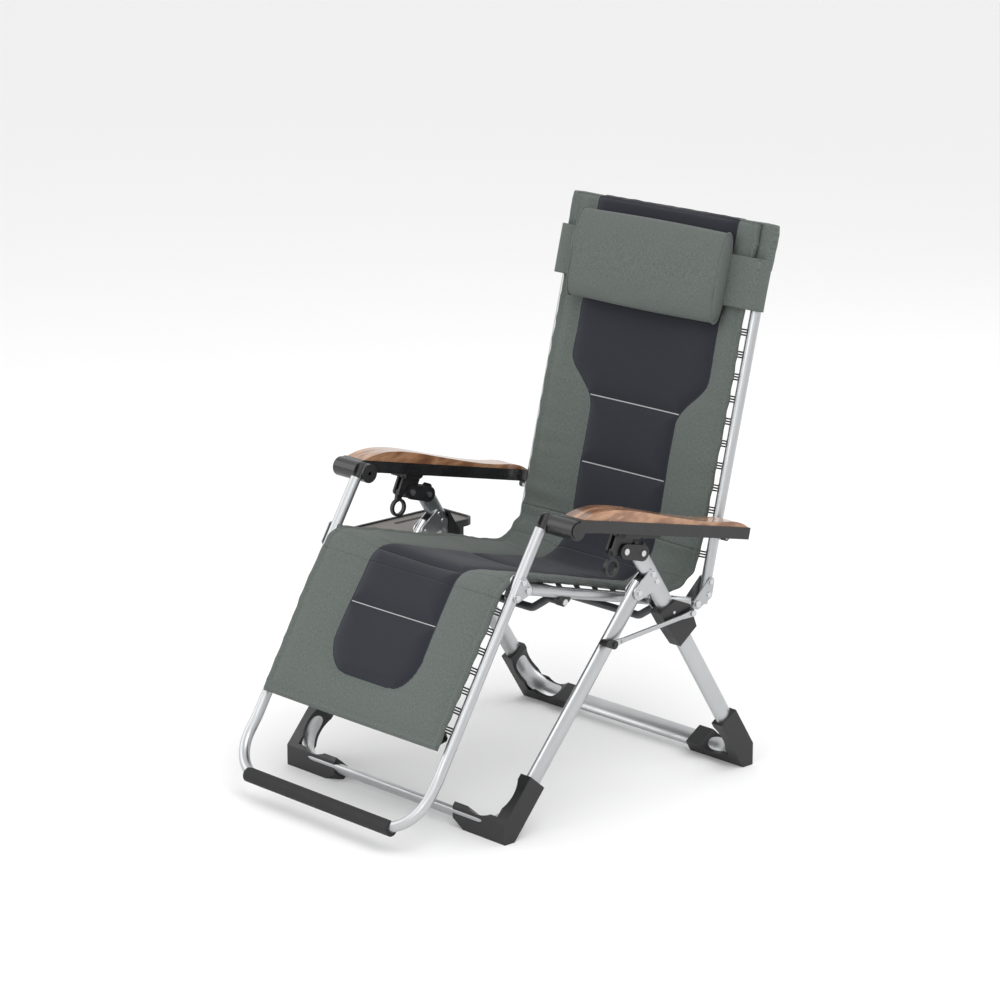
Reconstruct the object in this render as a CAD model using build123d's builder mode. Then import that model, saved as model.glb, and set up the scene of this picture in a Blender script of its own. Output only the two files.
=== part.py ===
from build123d import *
from math import atan2, degrees, hypot, radians, sin, tan
import os

# Zero gravity recliner: folding U-shaped legs carry a seat that rocks on two sliding collars.
# Frame: origin on the floor in the middle of the chair, +X to the sitter's left, -Y to the front, +Z up.
# Side-view points are (y, z) in millimetres. Every pair of parts is drawn on the left and mirrored.

# ---- Driving dimensions ----
RAIL_X = 270.0            # middle plane of the round seat, back and legrest tubes
LEG_X = 312.0             # middle plane of the leg tubes
TUBE = 22.0               # outer diameter of the round tubes
WALL = 1.5
LEG_DEPTH = 40.0          # rear leg section, along the side view
LEG_WIDTH = 20.0
FRONT_DEPTH = 38.0        # front leg section
FRONT_WIDTH = 19.2
PIN = 4.0                 # radius of the hinge pins
RUN = 0.05                # radial running clearance in a hinge bore

# ---- Pivots, side view ----
SEAT_PIVOT = (80.0, 374.0)
SLIDER_PIVOT = (-55.0, 524.0)
KNUCKLE_RIVET = (-8.6, 512.0)
KNEE = (-276.0, 480.0)
ARM_HUB = (-207.0, 598.0)
HIP = (193.0, 359.0)
ARM_REAR = (258.5, 488.5)
LEG_CROSS = (-15.0, 432.0)
LINK_FRONT = (-98.0, 347.0)
LINK_REAR = (125.0, 365.0)
REAR_BAR = (304.5, 24.0)
FRONT_BAR = (-362.0, 24.0)
LEVER_PIVOT = (-80.0, 528.0)

# ---- Tube lines, side view ----
REAR_LEG_LENGTH = 585.0
FRONT_LEG_PAST_PIVOT = 18.0
LEG_BEND = 65.0
LEGREST_TOP = (-231.7, 592.0)
LEGREST_BEND = (-498.0, 147.0)
FOOT_BAR = (-568.0, 52.0)
FOOT_CORNER = 85.0
BACK_BOTTOM = (220.5, 352.0)
BACK_TOP = (402.8, 1090.0)
BACK_CORNER = 50.0
PAD_HALF_WIDTH = 250.0     # the fabric panel passes in front of the tubes


def unit(start, end):
    """Unit direction from one side-view point to another."""
    length = hypot(end[0] - start[0], end[1] - start[1])
    return ((end[0] - start[0]) / length, (end[1] - start[1]) / length)


def shifted(point, direction, distance, across=0.0):
    """Side-view point moved along a direction, and across it to the left of that direction."""
    y = point[0] + direction[0] * distance - direction[1] * across
    z = point[1] + direction[1] * distance + direction[0] * across
    return (y, z)


LEG_UP = unit(REAR_BAR, SEAT_PIVOT)
FRONT_UP = unit(FRONT_BAR, LEG_CROSS)
RAIL_BACK = unit(KNEE, HIP)
RAIL_LENGTH = hypot(HIP[0] - KNEE[0], HIP[1] - KNEE[1])
CALF_DOWN = unit(LEGREST_TOP, LEGREST_BEND)
BACK_UP = unit(BACK_BOTTOM, BACK_TOP)
LEG_TOP = shifted(REAR_BAR, LEG_UP, REAR_LEG_LENGTH)
FRONT_TOP = shifted(LEG_CROSS, FRONT_UP, FRONT_LEG_PAST_PIVOT)
ARM_BACK = unit(ARM_HUB, ARM_REAR)


# ---- Shared shapes ----
def save(piece, name):
    """Label a finished piece and write it."""
    piece.part.label = name
    export_step(piece.part, f"parts/{name}.step")


def save_pair(left, name):
    """Write the left piece, and its mirror image as the right one."""
    save(left, name + "_left")
    with BuildPart() as right:
        mirror(left.part, about=Plane.YZ)
    save(right, name + "_right")


def plate(x_from, x_to, circles, mode=Mode.ADD):
    """Flat plate between two X planes, outlined by a taut band round circles (point, radius)."""
    with BuildSketch(Plane.YZ.offset(x_from)) as outline:
        for centre, radius in circles:
            with Locations(centre):
                Circle(radius)
        make_hull()
    extrude(outline.sketch, amount=x_to - x_from, mode=mode)


def slab(x_from, x_to, points, mode=Mode.ADD):
    """Flat plate between two X planes with a straight-sided outline."""
    with BuildSketch(Plane.YZ.offset(x_from)) as outline:
        with BuildLine():
            Polyline(*points, close=True)
        make_face()
    extrude(outline.sketch, amount=x_to - x_from, mode=mode)


def rod(x_from, x_to, centre, radius, mode=Mode.ADD):
    """Round bar along X."""
    with BuildSketch(Plane.YZ.offset(x_from)) as disc:
        with Locations(centre):
            Circle(radius)
    extrude(disc.sketch, amount=x_to - x_from, mode=mode)


def bent_path(points, radii):
    """Straight runs joined by round bends, through 3-D points."""
    corners = [Vector(*point) for point in points]
    with BuildLine() as path:
        start = corners[0]
        for before, corner, after, radius in zip(corners, corners[1:], corners[2:], radii):
            behind = (before - corner).normalized()
            ahead = (after - corner).normalized()
            half = radians(behind.get_angle(ahead)) / 2
            reach = radius / tan(half)
            middle = corner + (behind + ahead).normalized() * (radius / sin(half) - radius)
            Line(start, corner + behind * reach)
            ThreePointArc(corner + behind * reach, middle, corner + ahead * reach)
            start = corner + ahead * reach
        Line(start, corners[-1])
    return path.line


def round_tube(points, radii, diameter, wall=0.0, mode=Mode.ADD):
    """Round tube along a bent path; solid where the wall is left out."""
    path = bent_path(points, radii)
    with BuildSketch(Plane(origin=path @ 0, z_dir=path % 0)) as ring:
        Circle(diameter / 2)
        if wall:
            Circle(diameter / 2 - wall, mode=Mode.SUBTRACT)
    sweep(ring.sketch, path=path, mode=mode)


def oval_tube(points, radii, depth_dir, depth, width, wall=0.0, mode=Mode.ADD):
    """Oval tube along a flat bent path, its long axis across the path's plane."""
    path = bent_path(points, radii)
    with BuildSketch(Plane(origin=path @ 0, x_dir=depth_dir, z_dir=path % 0)) as oval:
        Ellipse(depth / 2, width / 2)
        if wall:
            Ellipse(depth / 2 - wall, width / 2 - wall, mode=Mode.SUBTRACT)
    sweep(oval.sketch, path=path, mode=mode)


def u_points(top, bar, half_width):
    """The four corners of a U frame that stands on its cross bar."""
    left = [(half_width, *top), (half_width, *bar)]
    return left + [(-x, y, z) for x, y, z in reversed(left)]


def leg_shoe(bar, up, depth, width, tip):
    """Boot on the lower left corner of a leg frame, flat below, with its outer face at y = tip."""
    skin, leg_reach, bar_reach, sole_reach = 4.5, 110.0, 135.0, 78.0
    outside = width / 2 + skin
    across = (0.0, -up[1], up[0])
    leg_plane = Plane(origin=(0, *bar), x_dir=(1, 0, 0), z_dir=across)
    with BuildSketch(leg_plane) as boot:
        with BuildLine():
            Polyline(
                (LEG_X + outside, leg_reach),
                (LEG_X + outside, -40),
                (LEG_X - sole_reach, -40),
                (LEG_X - bar_reach, -outside),
                (LEG_X - bar_reach, outside),
                (LEG_X - outside, outside),
                (LEG_X - outside, leg_reach),
                close=True,
            )
        make_face()
        # The inside of the bend stays open and shows the tube.
        with Locations((LEG_X - LEG_BEND, LEG_BEND)):
            Circle(LEG_BEND - width / 4, mode=Mode.SUBTRACT)
    extrude(boot.sketch, amount=depth / 2 + skin, both=True)
    ends = [(LEG_X, *shifted(bar, up, leg_reach + 1)), (LEG_X, *bar), (LEG_X - bar_reach - 1, *bar)]
    oval_tube(ends, [LEG_BEND], across, depth, width, mode=Mode.SUBTRACT)
    back, front = bar[0] + 100, bar[0] - 100
    slab(100, 400, [(front, 0), (back, 0), (back, -90), (front, -90)], Mode.SUBTRACT)
    beyond = tip + (100 if tip > 0 else -100)
    slab(100, 400, [(tip, -5), (tip, 200), (beyond, 200), (beyond, -5)], Mode.SUBTRACT)


def hinge_pin(centre):
    """Pin through a rail tongue and its two hinge plates, with spacing rings and heads."""
    rod(255.7, 284.3, centre, PIN)
    for x_from, x_to in ((259.3, 263.7), (276.3, 280.7)):
        rod(x_from, x_to, centre, PIN + 3)
    for x_from, x_to in ((253.0, 255.7), (284.3, 287.0)):
        rod(x_from, x_to, centre, PIN + 3)


def arm_plane(x):
    """Side plane in the armrest's own directions: origin at the hub, local x to the rear."""
    return Plane(origin=(x, *ARM_HUB), x_dir=(0, *ARM_BACK), z_dir=(1, 0, 0))


def arm_slab(x_from, x_to, points, mode=Mode.ADD):
    """Plate between two X planes with an outline in armrest directions."""
    with BuildSketch(arm_plane(x_from)) as outline:
        with BuildLine():
            Polyline(*points, close=True)
        make_face()
    extrude(outline.sketch, amount=x_to - x_from, mode=mode)


def arm_hull(x_from, x_to, circles, mode=Mode.ADD):
    """Plate between two X planes, a taut band round circles in armrest directions."""
    with BuildSketch(arm_plane(x_from)) as outline:
        for centre, radius in circles:
            with Locations(centre):
                Circle(radius)
        make_hull()
    extrude(outline.sketch, amount=x_to - x_from, mode=mode)


def in_arm(point):
    """Side-view point in armrest directions."""
    y, z = point[0] - ARM_HUB[0], point[1] - ARM_HUB[1]
    return (y * ARM_BACK[0] + z * ARM_BACK[1], z * ARM_BACK[0] - y * ARM_BACK[1])


def laces(start, direction, length, count):
    """Short elastic laces between the tubes and the fabric above them; the sitter is on the left."""
    for number in range(count):
        centre = shifted(start, direction, length * (number + 0.5) / count, 3)
        with BuildSketch(Plane.YZ.offset(PAD_HALF_WIDTH - 3)) as lace:
            with Locations(Location(centre, degrees(atan2(direction[1], direction[0])))):
                RectangleRounded(22, 10, 2)
        extrude(lace.sketch, amount=RAIL_X - TUBE / 2 - PAD_HALF_WIDTH + 3)
    mirror(about=Plane.YZ)


def fabric_slab(start, direction, length, lift, sag, thickness):
    """Sagging fabric panel between two tubes; the sitter is on the left of its direction."""
    across = Plane(origin=(0, *start), x_dir=(1, 0, 0), z_dir=(0, *direction))
    half = PAD_HALF_WIDTH
    # Local y points away from the sitter.
    upper, lower = -lift, thickness - lift
    with BuildSketch(across) as section:
        with BuildLine():
            ThreePointArc((-half, upper), (0, upper + sag), (half, upper))
            Line((half, upper), (half, lower))
            ThreePointArc((half, lower), (0, lower + sag), (-half, lower))
            Line((-half, lower), (-half, upper))
        make_face()
    extrude(section.sketch, amount=length)


os.makedirs("parts", exist_ok=True)

# ---- Rear legs: the fixed frame ----
leg_across = (0.0, -LEG_UP[1], LEG_UP[0])
GUSSET_RIVETS = ((23.0, 463.0), (33.0, 447.0))
with BuildPart() as rear_leg_frame:
    oval_tube(u_points(LEG_TOP, REAR_BAR, LEG_X), [LEG_BEND] * 2, leg_across, LEG_DEPTH, LEG_WIDTH, WALL)
    for rivet in GUSSET_RIVETS:
        rod(-400, 400, rivet, 3.0, Mode.SUBTRACT)
    rod(-400, 400, KNUCKLE_RIVET, 3.5, Mode.SUBTRACT)
save(rear_leg_frame, "rear_leg_frame")

with BuildPart() as rear_foot:
    leg_shoe(REAR_BAR, LEG_UP, LEG_DEPTH, LEG_WIDTH, 319)
save_pair(rear_foot, "rear_foot")

with BuildPart() as leg_gusset_plates:
    for x_from in (299.0, 322.0):
        plate(x_from, x_from + 3, [(LEG_CROSS, 15), ((19, 468), 6), ((36, 442), 10)])
    for rivet in (*GUSSET_RIVETS, LEG_CROSS):
        rod(290, 330, rivet, 3.0, Mode.SUBTRACT)
    mirror(about=Plane.YZ)
save(leg_gusset_plates, "leg_gusset_plates")

with BuildPart() as gusset_rivets:
    for rivet in (*GUSSET_RIVETS, LEG_CROSS):
        rod(299, 325, rivet, 3.0)
        rod(297, 299, rivet, 5.5)
        rod(325, 327, rivet, 5.5)
    mirror(about=Plane.YZ)
save(gusset_rivets, "gusset_rivets")

with BuildPart() as leg_knuckle:
    for x_from, x_to in ((296.5, 302.0), (322.0, 327.5)):
        plate(x_from, x_to, [(KNUCKLE_RIVET, 16), (SLIDER_PIVOT, 15)])
    cap = shifted(LEG_TOP, LEG_UP, 3.5)
    with BuildSketch(Plane.YZ.offset(302)) as cap_outline:
        with Locations(Location(cap, degrees(atan2(LEG_UP[1], LEG_UP[0])))):
            Rectangle(7, 36)
    extrude(cap_outline.sketch, amount=20)
    rod(290, 335, KNUCKLE_RIVET, 3.5, Mode.SUBTRACT)
    rod(290, 335, SLIDER_PIVOT, PIN + RUN, Mode.SUBTRACT)
save_pair(leg_knuckle, "leg_knuckle")

with BuildPart() as knuckle_rivets:
    rod(296.5, 327.5, KNUCKLE_RIVET, 3.5)
    rod(294.6, 296.5, KNUCKLE_RIVET, 6)
    rod(327.5, 329.4, KNUCKLE_RIVET, 6)
    mirror(about=Plane.YZ)
save(knuckle_rivets, "knuckle_rivets")

# ---- Front legs ----
front_across = (0.0, -FRONT_UP[1], FRONT_UP[0])
with BuildPart() as front_leg_frame:
    front_corners = u_points(FRONT_TOP, FRONT_BAR, LEG_X)
    oval_tube(front_corners, [LEG_BEND] * 2, front_across, FRONT_DEPTH, FRONT_WIDTH, WALL)
    rod(-400, 400, LEG_CROSS, 3.0 + RUN, Mode.SUBTRACT)
save(front_leg_frame, "front_leg_frame")

with BuildPart() as front_foot:
    leg_shoe(FRONT_BAR, FRONT_UP, FRONT_DEPTH, FRONT_WIDTH, -377)
save_pair(front_foot, "front_foot")

with BuildPart() as front_leg_caps:
    end_plane = Plane(origin=(LEG_X, *FRONT_TOP), x_dir=front_across, z_dir=(0, *FRONT_UP))
    with BuildSketch(end_plane) as cap_face:
        Ellipse(FRONT_DEPTH / 2, FRONT_WIDTH / 2)
    extrude(cap_face.sketch, amount=3)
    mirror(about=Plane.YZ)
save(front_leg_caps, "front_leg_caps")

# The fork holds the link's front end between two cheeks; its web is ahead of the link.
FORK_WEB = (-116.0, 352.0)
with BuildPart() as brace_forks:
    plate(321.6, 331.0, [(LINK_FRONT, 9), (FORK_WEB, 6)])
    plate(337.0, 341.0, [(LINK_FRONT, 9), (FORK_WEB, 6)])
    plate(331.0, 337.0, [(FORK_WEB, 5), (shifted(FORK_WEB, (0, 1), 3), 5)])
    rod(341.0, 343.0, LINK_FRONT, 5.5)
    oval_tube(front_corners, [LEG_BEND] * 2, front_across, FRONT_DEPTH, FRONT_WIDTH, mode=Mode.SUBTRACT)
    mirror(about=Plane.YZ)
save(brace_forks, "brace_forks")

# ---- Sliding collars and brace links ----
with BuildPart() as leg_collar:
    slab(297, 327, [(42, 378), (86, 398), (126, 382), (146, 332), (100, 299), (64, 345)])
    plate(327, 331, [(LINK_REAR, 10)])
    rod(289, 297, SEAT_PIVOT, 12)
    sleeve_ends = [(LEG_X, *shifted(SEAT_PIVOT, LEG_UP, -150)), (LEG_X, *shifted(SEAT_PIVOT, LEG_UP, 100))]
    oval_tube(sleeve_ends, [], leg_across, LEG_DEPTH + 1, LEG_WIDTH + 1, mode=Mode.SUBTRACT)
    rod(289, 304, SEAT_PIVOT, 5 + RUN, Mode.SUBTRACT)
    rod(300, 331, LINK_REAR, 3.5, Mode.SUBTRACT)
    rod(325.5, 327, SEAT_PIVOT, 3.0, Mode.SUBTRACT)
save_pair(leg_collar, "leg_collar")

with BuildPart() as collar_rivets:
    rod(300, 337.3, LINK_REAR, 3.5)
    rod(337.3, 340, LINK_REAR, 6.5)
    rod(325.5, 328.5, SEAT_PIVOT, 3.0)
    mirror(about=Plane.YZ)
save(collar_rivets, "collar_rivets")

link_forward = unit(LINK_REAR, LINK_FRONT)
with BuildPart() as brace_links:
    link_start = (334, *shifted(LINK_REAR, link_forward, 22))
    link_end = (334, *shifted(LINK_FRONT, link_forward, -22))
    round_tube([link_start, link_end], [], 10)
    for end, sign in ((LINK_REAR, 1), (LINK_FRONT, -1)):
        plate(331.5, 336.5, [(end, 7), (shifted(end, link_forward, sign * 26), 5)])
    rod(330, 338, LINK_REAR, 3.5 + RUN, Mode.SUBTRACT)
    rod(330, 338, LINK_FRONT, 3.5, Mode.SUBTRACT)
    mirror(about=Plane.YZ)
save(brace_links, "brace_links")

# ---- Seat ----
with BuildPart() as seat_pivot_pins:
    rod(280.7, 301.0, SEAT_PIVOT, 5)
    rod(278.8, 280.7, SEAT_PIVOT, 6)
    rod(284.8, 288.7, SEAT_PIVOT, 8)
    mirror(about=Plane.YZ)
save(seat_pivot_pins, "seat_pivot_pins")

CROSS_BAR_FRONT = (-176.0, 436.0)
CROSS_BAR_REAR = (120.0, 359.8)
BRACKET_RIVETS = ((60.0, 393.3), (100.0, 383.0))
with BuildPart() as seat_rail:
    rail_ends = [(RAIL_X, *shifted(KNEE, RAIL_BACK, 14)), (RAIL_X, *shifted(HIP, RAIL_BACK, -16))]
    round_tube(rail_ends, [], TUBE)
    plate(264, 276, [(KNEE, 7.5), (shifted(KNEE, RAIL_BACK, 16), 9)])
    plate(264, 276, [(HIP, 9.5), (shifted(HIP, RAIL_BACK, -18), 10)])
    for pivot in (KNEE, HIP):
        rod(255, 285, pivot, PIN + RUN, Mode.SUBTRACT)
    for rivet in BRACKET_RIVETS:
        rod(255, 285, rivet, 3.0, Mode.SUBTRACT)
save_pair(seat_rail, "seat_rail")

with BuildPart() as seat_pivot_brackets:
    plate(281, 284.5, [(BRACKET_RIVETS[0], 8), (BRACKET_RIVETS[1], 8), (SEAT_PIVOT, 10)])
    rod(279, 286, SEAT_PIVOT, 5 + RUN, Mode.SUBTRACT)
    for rivet in BRACKET_RIVETS:
        rod(RAIL_X - TUBE / 2, 284.5, rivet, 3.0)
        rod(284.5, 286.5, rivet, 5.5)
    mirror(about=Plane.YZ)
save(seat_pivot_brackets, "seat_pivot_brackets")


def cross_bar(end):
    """Bowed bar between the rails, below the seat fabric."""
    low = (end[0] - 9, end[1] - 26)
    left = [(262, *end), (237, *end), (200, *low)]
    right = [(-x, y, z) for x, y, z in reversed(left)]
    round_tube(left + right, [20, 20, 20, 20], 16, 4)


def cross_bar_bracket(end):
    """Moulded saddle under a rail that takes the end of a cross bar."""
    over = shifted(end, RAIL_BACK, 0, 7)
    plate(262, 279, [(end, 9), (shifted(over, RAIL_BACK, -11), 5), (shifted(over, RAIL_BACK, 11), 5)])
    rail = [(RAIL_X, *shifted(KNEE, RAIL_BACK, 10)), (RAIL_X, *shifted(HIP, RAIL_BACK, -10))]
    round_tube(rail, [], TUBE, mode=Mode.SUBTRACT)
    rod(255, 290, end, PIN, Mode.SUBTRACT)


with BuildPart() as seat_cross_bar_front:
    cross_bar(CROSS_BAR_FRONT)
save(seat_cross_bar_front, "seat_cross_bar_front")

with BuildPart() as seat_cross_bar_rear:
    cross_bar(CROSS_BAR_REAR)
save(seat_cross_bar_rear, "seat_cross_bar_rear")

with BuildPart() as cross_bar_brackets:
    cross_bar_bracket(CROSS_BAR_FRONT)
    cross_bar_bracket(CROSS_BAR_REAR)
    mirror(about=Plane.YZ)
save(cross_bar_brackets, "cross_bar_brackets")

with BuildPart() as cross_bar_bolts:
    for end in (CROSS_BAR_FRONT, CROSS_BAR_REAR):
        rod(246, 279, end, PIN)
        rod(279, 283, end, 6.5)
    mirror(about=Plane.YZ)
save(cross_bar_bolts, "cross_bar_bolts")

SEAT_LIFT, SEAT_SAG, SEAT_THICK = 24.0, 22.0, 12.0
with BuildPart() as seat_pad:
    fabric_slab(shifted(KNEE, RAIL_BACK, 8), RAIL_BACK, RAIL_LENGTH - 34, SEAT_LIFT, SEAT_SAG, SEAT_THICK)
save(seat_pad, "seat_pad")

with BuildPart() as seat_lacing:
    laces(shifted(KNEE, RAIL_BACK, 30), RAIL_BACK, RAIL_LENGTH - 70, 6)
save(seat_lacing, "seat_lacing")

# ---- Legrest ----
with BuildPart() as knee_pins:
    hinge_pin(KNEE)
    mirror(about=Plane.YZ)
save(knee_pins, "knee_pins")

legrest_left = [(RAIL_X, *LEGREST_TOP), (RAIL_X, *LEGREST_BEND), (RAIL_X, *FOOT_BAR)]
legrest_corners = legrest_left + [(-x, y, z) for x, y, z in reversed(legrest_left)]
legrest_radii = [200, FOOT_CORNER, FOOT_CORNER, 200]
LEGREST_RIVETS = ((-288.0, 498.0), (-304.0, 471.0))
with BuildPart() as legrest_frame:
    round_tube(legrest_corners, legrest_radii, TUBE, WALL)
    for rivet in LEGREST_RIVETS:
        rod(-300, 300, rivet, 3.0, Mode.SUBTRACT)
save(legrest_frame, "legrest_frame")

with BuildPart() as legrest_hinge_plates:
    for x_from in (256.0, 281.0):
        plate(x_from, x_from + 3, [(LEGREST_RIVETS[0], 10), (LEGREST_RIVETS[1], 10), (KNEE, 10)])
    rod(250, 290, KNEE, PIN + RUN, Mode.SUBTRACT)
    for rivet in LEGREST_RIVETS:
        rod(250, 290, rivet, 3.0, Mode.SUBTRACT)
    mirror(about=Plane.YZ)
save(legrest_hinge_plates, "legrest_hinge_plates")

with BuildPart() as legrest_rivets:
    for rivet in LEGREST_RIVETS:
        rod(256, 284, rivet, 3.0)
        rod(254, 256, rivet, 5.5)
        rod(284, 286, rivet, 5.5)
    mirror(about=Plane.YZ)
save(legrest_rivets, "legrest_rivets")

with BuildPart() as legrest_hubs:
    rod(255.5, 281.5, ARM_HUB, 19.5)
    socket_top = (RAIL_X, *shifted(LEGREST_TOP, CALF_DOWN, -60))
    socket_end = (RAIL_X, *shifted(LEGREST_TOP, CALF_DOWN, 60))
    round_tube([socket_top, socket_end], [], TUBE, mode=Mode.SUBTRACT)
    rod(250, 290, ARM_HUB, 4, Mode.SUBTRACT)
    mirror(about=Plane.YZ)
save(legrest_hubs, "legrest_hubs")

with BuildPart() as foot_grip:
    round_tube([(-215, *FOOT_BAR), (215, *FOOT_BAR)], [], 30)
    round_tube(legrest_corners, legrest_radii, TUBE, mode=Mode.SUBTRACT)
save(foot_grip, "foot_grip")

CALF_PAD_TOP = (-303.0, 473.0)
CALF_PAD_LENGTH = 330.0
CALF_PAD_THICK = 12.0
CALF_PAD_END = shifted(CALF_PAD_TOP, CALF_DOWN, CALF_PAD_LENGTH)
CALF_UP = (-CALF_DOWN[0], -CALF_DOWN[1])
with BuildPart() as legrest_pad:
    fabric_slab(CALF_PAD_END, CALF_UP, CALF_PAD_LENGTH, 24.0, 12.0, CALF_PAD_THICK)
save(legrest_pad, "legrest_pad")

with BuildPart() as legrest_lacing:
    laces(shifted(CALF_PAD_END, CALF_UP, 50), CALF_UP, CALF_PAD_LENGTH - 100, 4)
save(legrest_lacing, "legrest_lacing")

with BuildPart() as legrest_tabs:
    tab_top = shifted(CALF_PAD_TOP, CALF_DOWN, CALF_PAD_LENGTH - 28)
    tab_plane = Plane(origin=(0, *tab_top), x_dir=(1, 0, 0), z_dir=(0, CALF_DOWN[1], -CALF_DOWN[0]))
    with BuildSketch(tab_plane.offset(7)) as tab:
        with BuildLine():
            tube_side = RAIL_X - TUBE / 2
            pad_side = PAD_HALF_WIDTH - 4
            Polyline((pad_side, -14), (pad_side, 14), (tube_side, 3), (tube_side, -3), close=True)
        make_face()
    extrude(tab.sketch, amount=4)
    mirror(about=Plane.YZ)
save(legrest_tabs, "legrest_tabs")

# ---- Back ----
with BuildPart() as back_pins:
    hinge_pin(HIP)
    mirror(about=Plane.YZ)
save(back_pins, "back_pins")

BACK_RIVETS = ((225.4, 372.0), (231.9, 398.0))
with BuildPart() as back_frame:
    back_left = [(RAIL_X, *BACK_BOTTOM), (RAIL_X, *BACK_TOP)]
    back_corners = back_left + [(-x, y, z) for x, y, z in reversed(back_left)]
    round_tube(back_corners, [BACK_CORNER] * 2, TUBE, WALL)
    for rivet in BACK_RIVETS:
        rod(-300, 300, rivet, 3.0, Mode.SUBTRACT)
    rod(-300, 300, ARM_REAR, PIN + RUN, Mode.SUBTRACT)
save(back_frame, "back_frame")

with BuildPart() as back_hinge_plates:
    for x_from in (256.0, 281.0):
        plate(x_from, x_from + 3, [(BACK_RIVETS[0], 10), (BACK_RIVETS[1], 9), (HIP, 12)])
    rod(250, 290, HIP, PIN + RUN, Mode.SUBTRACT)
    for rivet in BACK_RIVETS:
        rod(250, 290, rivet, 3.0, Mode.SUBTRACT)
    mirror(about=Plane.YZ)
save(back_hinge_plates, "back_hinge_plates")

with BuildPart() as back_rivets:
    for rivet in BACK_RIVETS:
        rod(256, 284, rivet, 3.0)
        rod(254, 256, rivet, 5.5)
        rod(284, 286, rivet, 5.5)
    mirror(about=Plane.YZ)
save(back_rivets, "back_rivets")

BACK_PAD_BOTTOM = shifted(BACK_BOTTOM, BACK_UP, 66)
BACK_PAD_LENGTH = 659.0
SLEEVE_HALF = 215.0
with BuildPart() as back_pad:
    fabric_slab(BACK_PAD_BOTTOM, BACK_UP, BACK_PAD_LENGTH, 22.0, 14.0, 10.0)
save(back_pad, "back_pad")

with BuildPart() as back_sleeve:
    sleeve = [(-SLEEVE_HALF, *BACK_TOP), (SLEEVE_HALF, *BACK_TOP)]
    round_tube(sleeve, [], TUBE + 8, 4)
save(back_sleeve, "back_sleeve")

with BuildPart() as back_lacing:
    laces(shifted(BACK_PAD_BOTTOM, BACK_UP, 20), BACK_UP, BACK_PAD_LENGTH - 170, 7)
save(back_lacing, "back_lacing")

# ---- Armrests: open channels that ride on the slider blocks ----
with BuildPart() as arm_pins:
    rod(257.0, 300.0, ARM_REAR, PIN)
    rod(255.0, 257.0, ARM_REAR, PIN + 2.5)
    rod(281.6, 289.4, ARM_REAR, PIN + 4)
    mirror(about=Plane.YZ)
save(arm_pins, "arm_pins")

ARM_INNER, ARM_OUTER = 290.0, 350.0
ARM_WALL = 3.5
ARM_PIN_SPOT = in_arm(ARM_REAR)


def shell_top(along):
    """Height of the arm shell's top edge, which rises slightly to the rear."""
    return 22 + 8 * (along - 10) / 477


HUB_RADIUS = 20.0
with BuildPart() as arm_shell:
    arm_slab(ARM_INNER, ARM_OUTER, [(0, -4), (60, -1), (487, 6), (487, 30), (10, 22), (0, 19)])
    arm_hull(282.7, 348, [((0, 0), HUB_RADIUS)])
    channel = [(24, -30), (483.5, -30), (483.5, shell_top(483.5) - 3), (24, shell_top(24) - 3)]
    arm_slab(ARM_INNER + ARM_WALL, ARM_OUTER - ARM_WALL, channel, Mode.SUBTRACT)
    arm_hull(ARM_INNER, 300, [(ARM_PIN_SPOT, 7.5), ((ARM_PIN_SPOT[0], 18), 7.5)])
    rod(285, 305, ARM_REAR, PIN + RUN, Mode.SUBTRACT)
    rod(346, 350, ARM_HUB, 16, Mode.SUBTRACT)
save_pair(arm_shell, "arm_shell")

with BuildPart() as arm_hub_caps:
    rod(346, 350, ARM_HUB, 16)
    mirror(about=Plane.YZ)
save(arm_hub_caps, "arm_hub_caps")

with BuildPart() as arm_top:
    with BuildSketch(arm_plane(293)) as wood:
        with BuildLine():
            front, rear = (14, shell_top(14)), (483, shell_top(483))
            Spline(front, (60, 40), (130, 46.5), (220, 42), (300, 37.5), (400, 37), (465, 36.5), rear)
            Line(rear, front)
        make_face()
    extrude(wood.sketch, amount=54)
save_pair(arm_top, "arm_top")

# ---- Slider blocks and lock levers ----
with BuildPart() as slider_pins:
    rod(296.5, 327.5, SLIDER_PIVOT, PIN)
    rod(294.6, 296.5, SLIDER_PIVOT, 6.5)
    rod(327.5, 329.4, SLIDER_PIVOT, 6.5)
    mirror(about=Plane.YZ)
save(slider_pins, "slider_pins")

TONGUE = in_arm(SLIDER_PIVOT)
LEVER = in_arm(LEVER_PIVOT)
with BuildPart() as slider_block:
    # The lower rear corner is cut back, to clear the knuckle when the chair is folded.
    arm_slab(297, 343, [(139, -9), (139, 14), (186, 14), (186, -4), (178, -9)])
    arm_slab(331.5, 343, [(186, -7), (186, 14), (236, 14), (236, -4)])
    arm_hull(303, 321, [(TONGUE, 13), ((154, -4), 10), ((176, -2), 10)])
    for x_from, x_to in ((302.0, 307.6), (316.4, 322.0)):
        arm_hull(x_from, x_to, [(LEVER, 8), ((147, -5), 8)])
    rod(307.6, 316.4, LEVER_PIVOT, 2.5)
    rod(302, 322, SLIDER_PIVOT, PIN + RUN, Mode.SUBTRACT)
save_pair(slider_block, "slider_block")

RING_CENTRE = (-82.0, 494.0)
with BuildPart() as lock_lever:
    plate(308, 316, [(LEVER_PIVOT, 6), (shifted(RING_CENTRE, (0, 1), 14), 7)])
    rod(308, 316, RING_CENTRE, 19)
    rod(305, 320, RING_CENTRE, 13.5, Mode.SUBTRACT)
    rod(305, 320, LEVER_PIVOT, 2.5 + RUN, Mode.SUBTRACT)
save_pair(lock_lever, "lock_lever")

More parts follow.
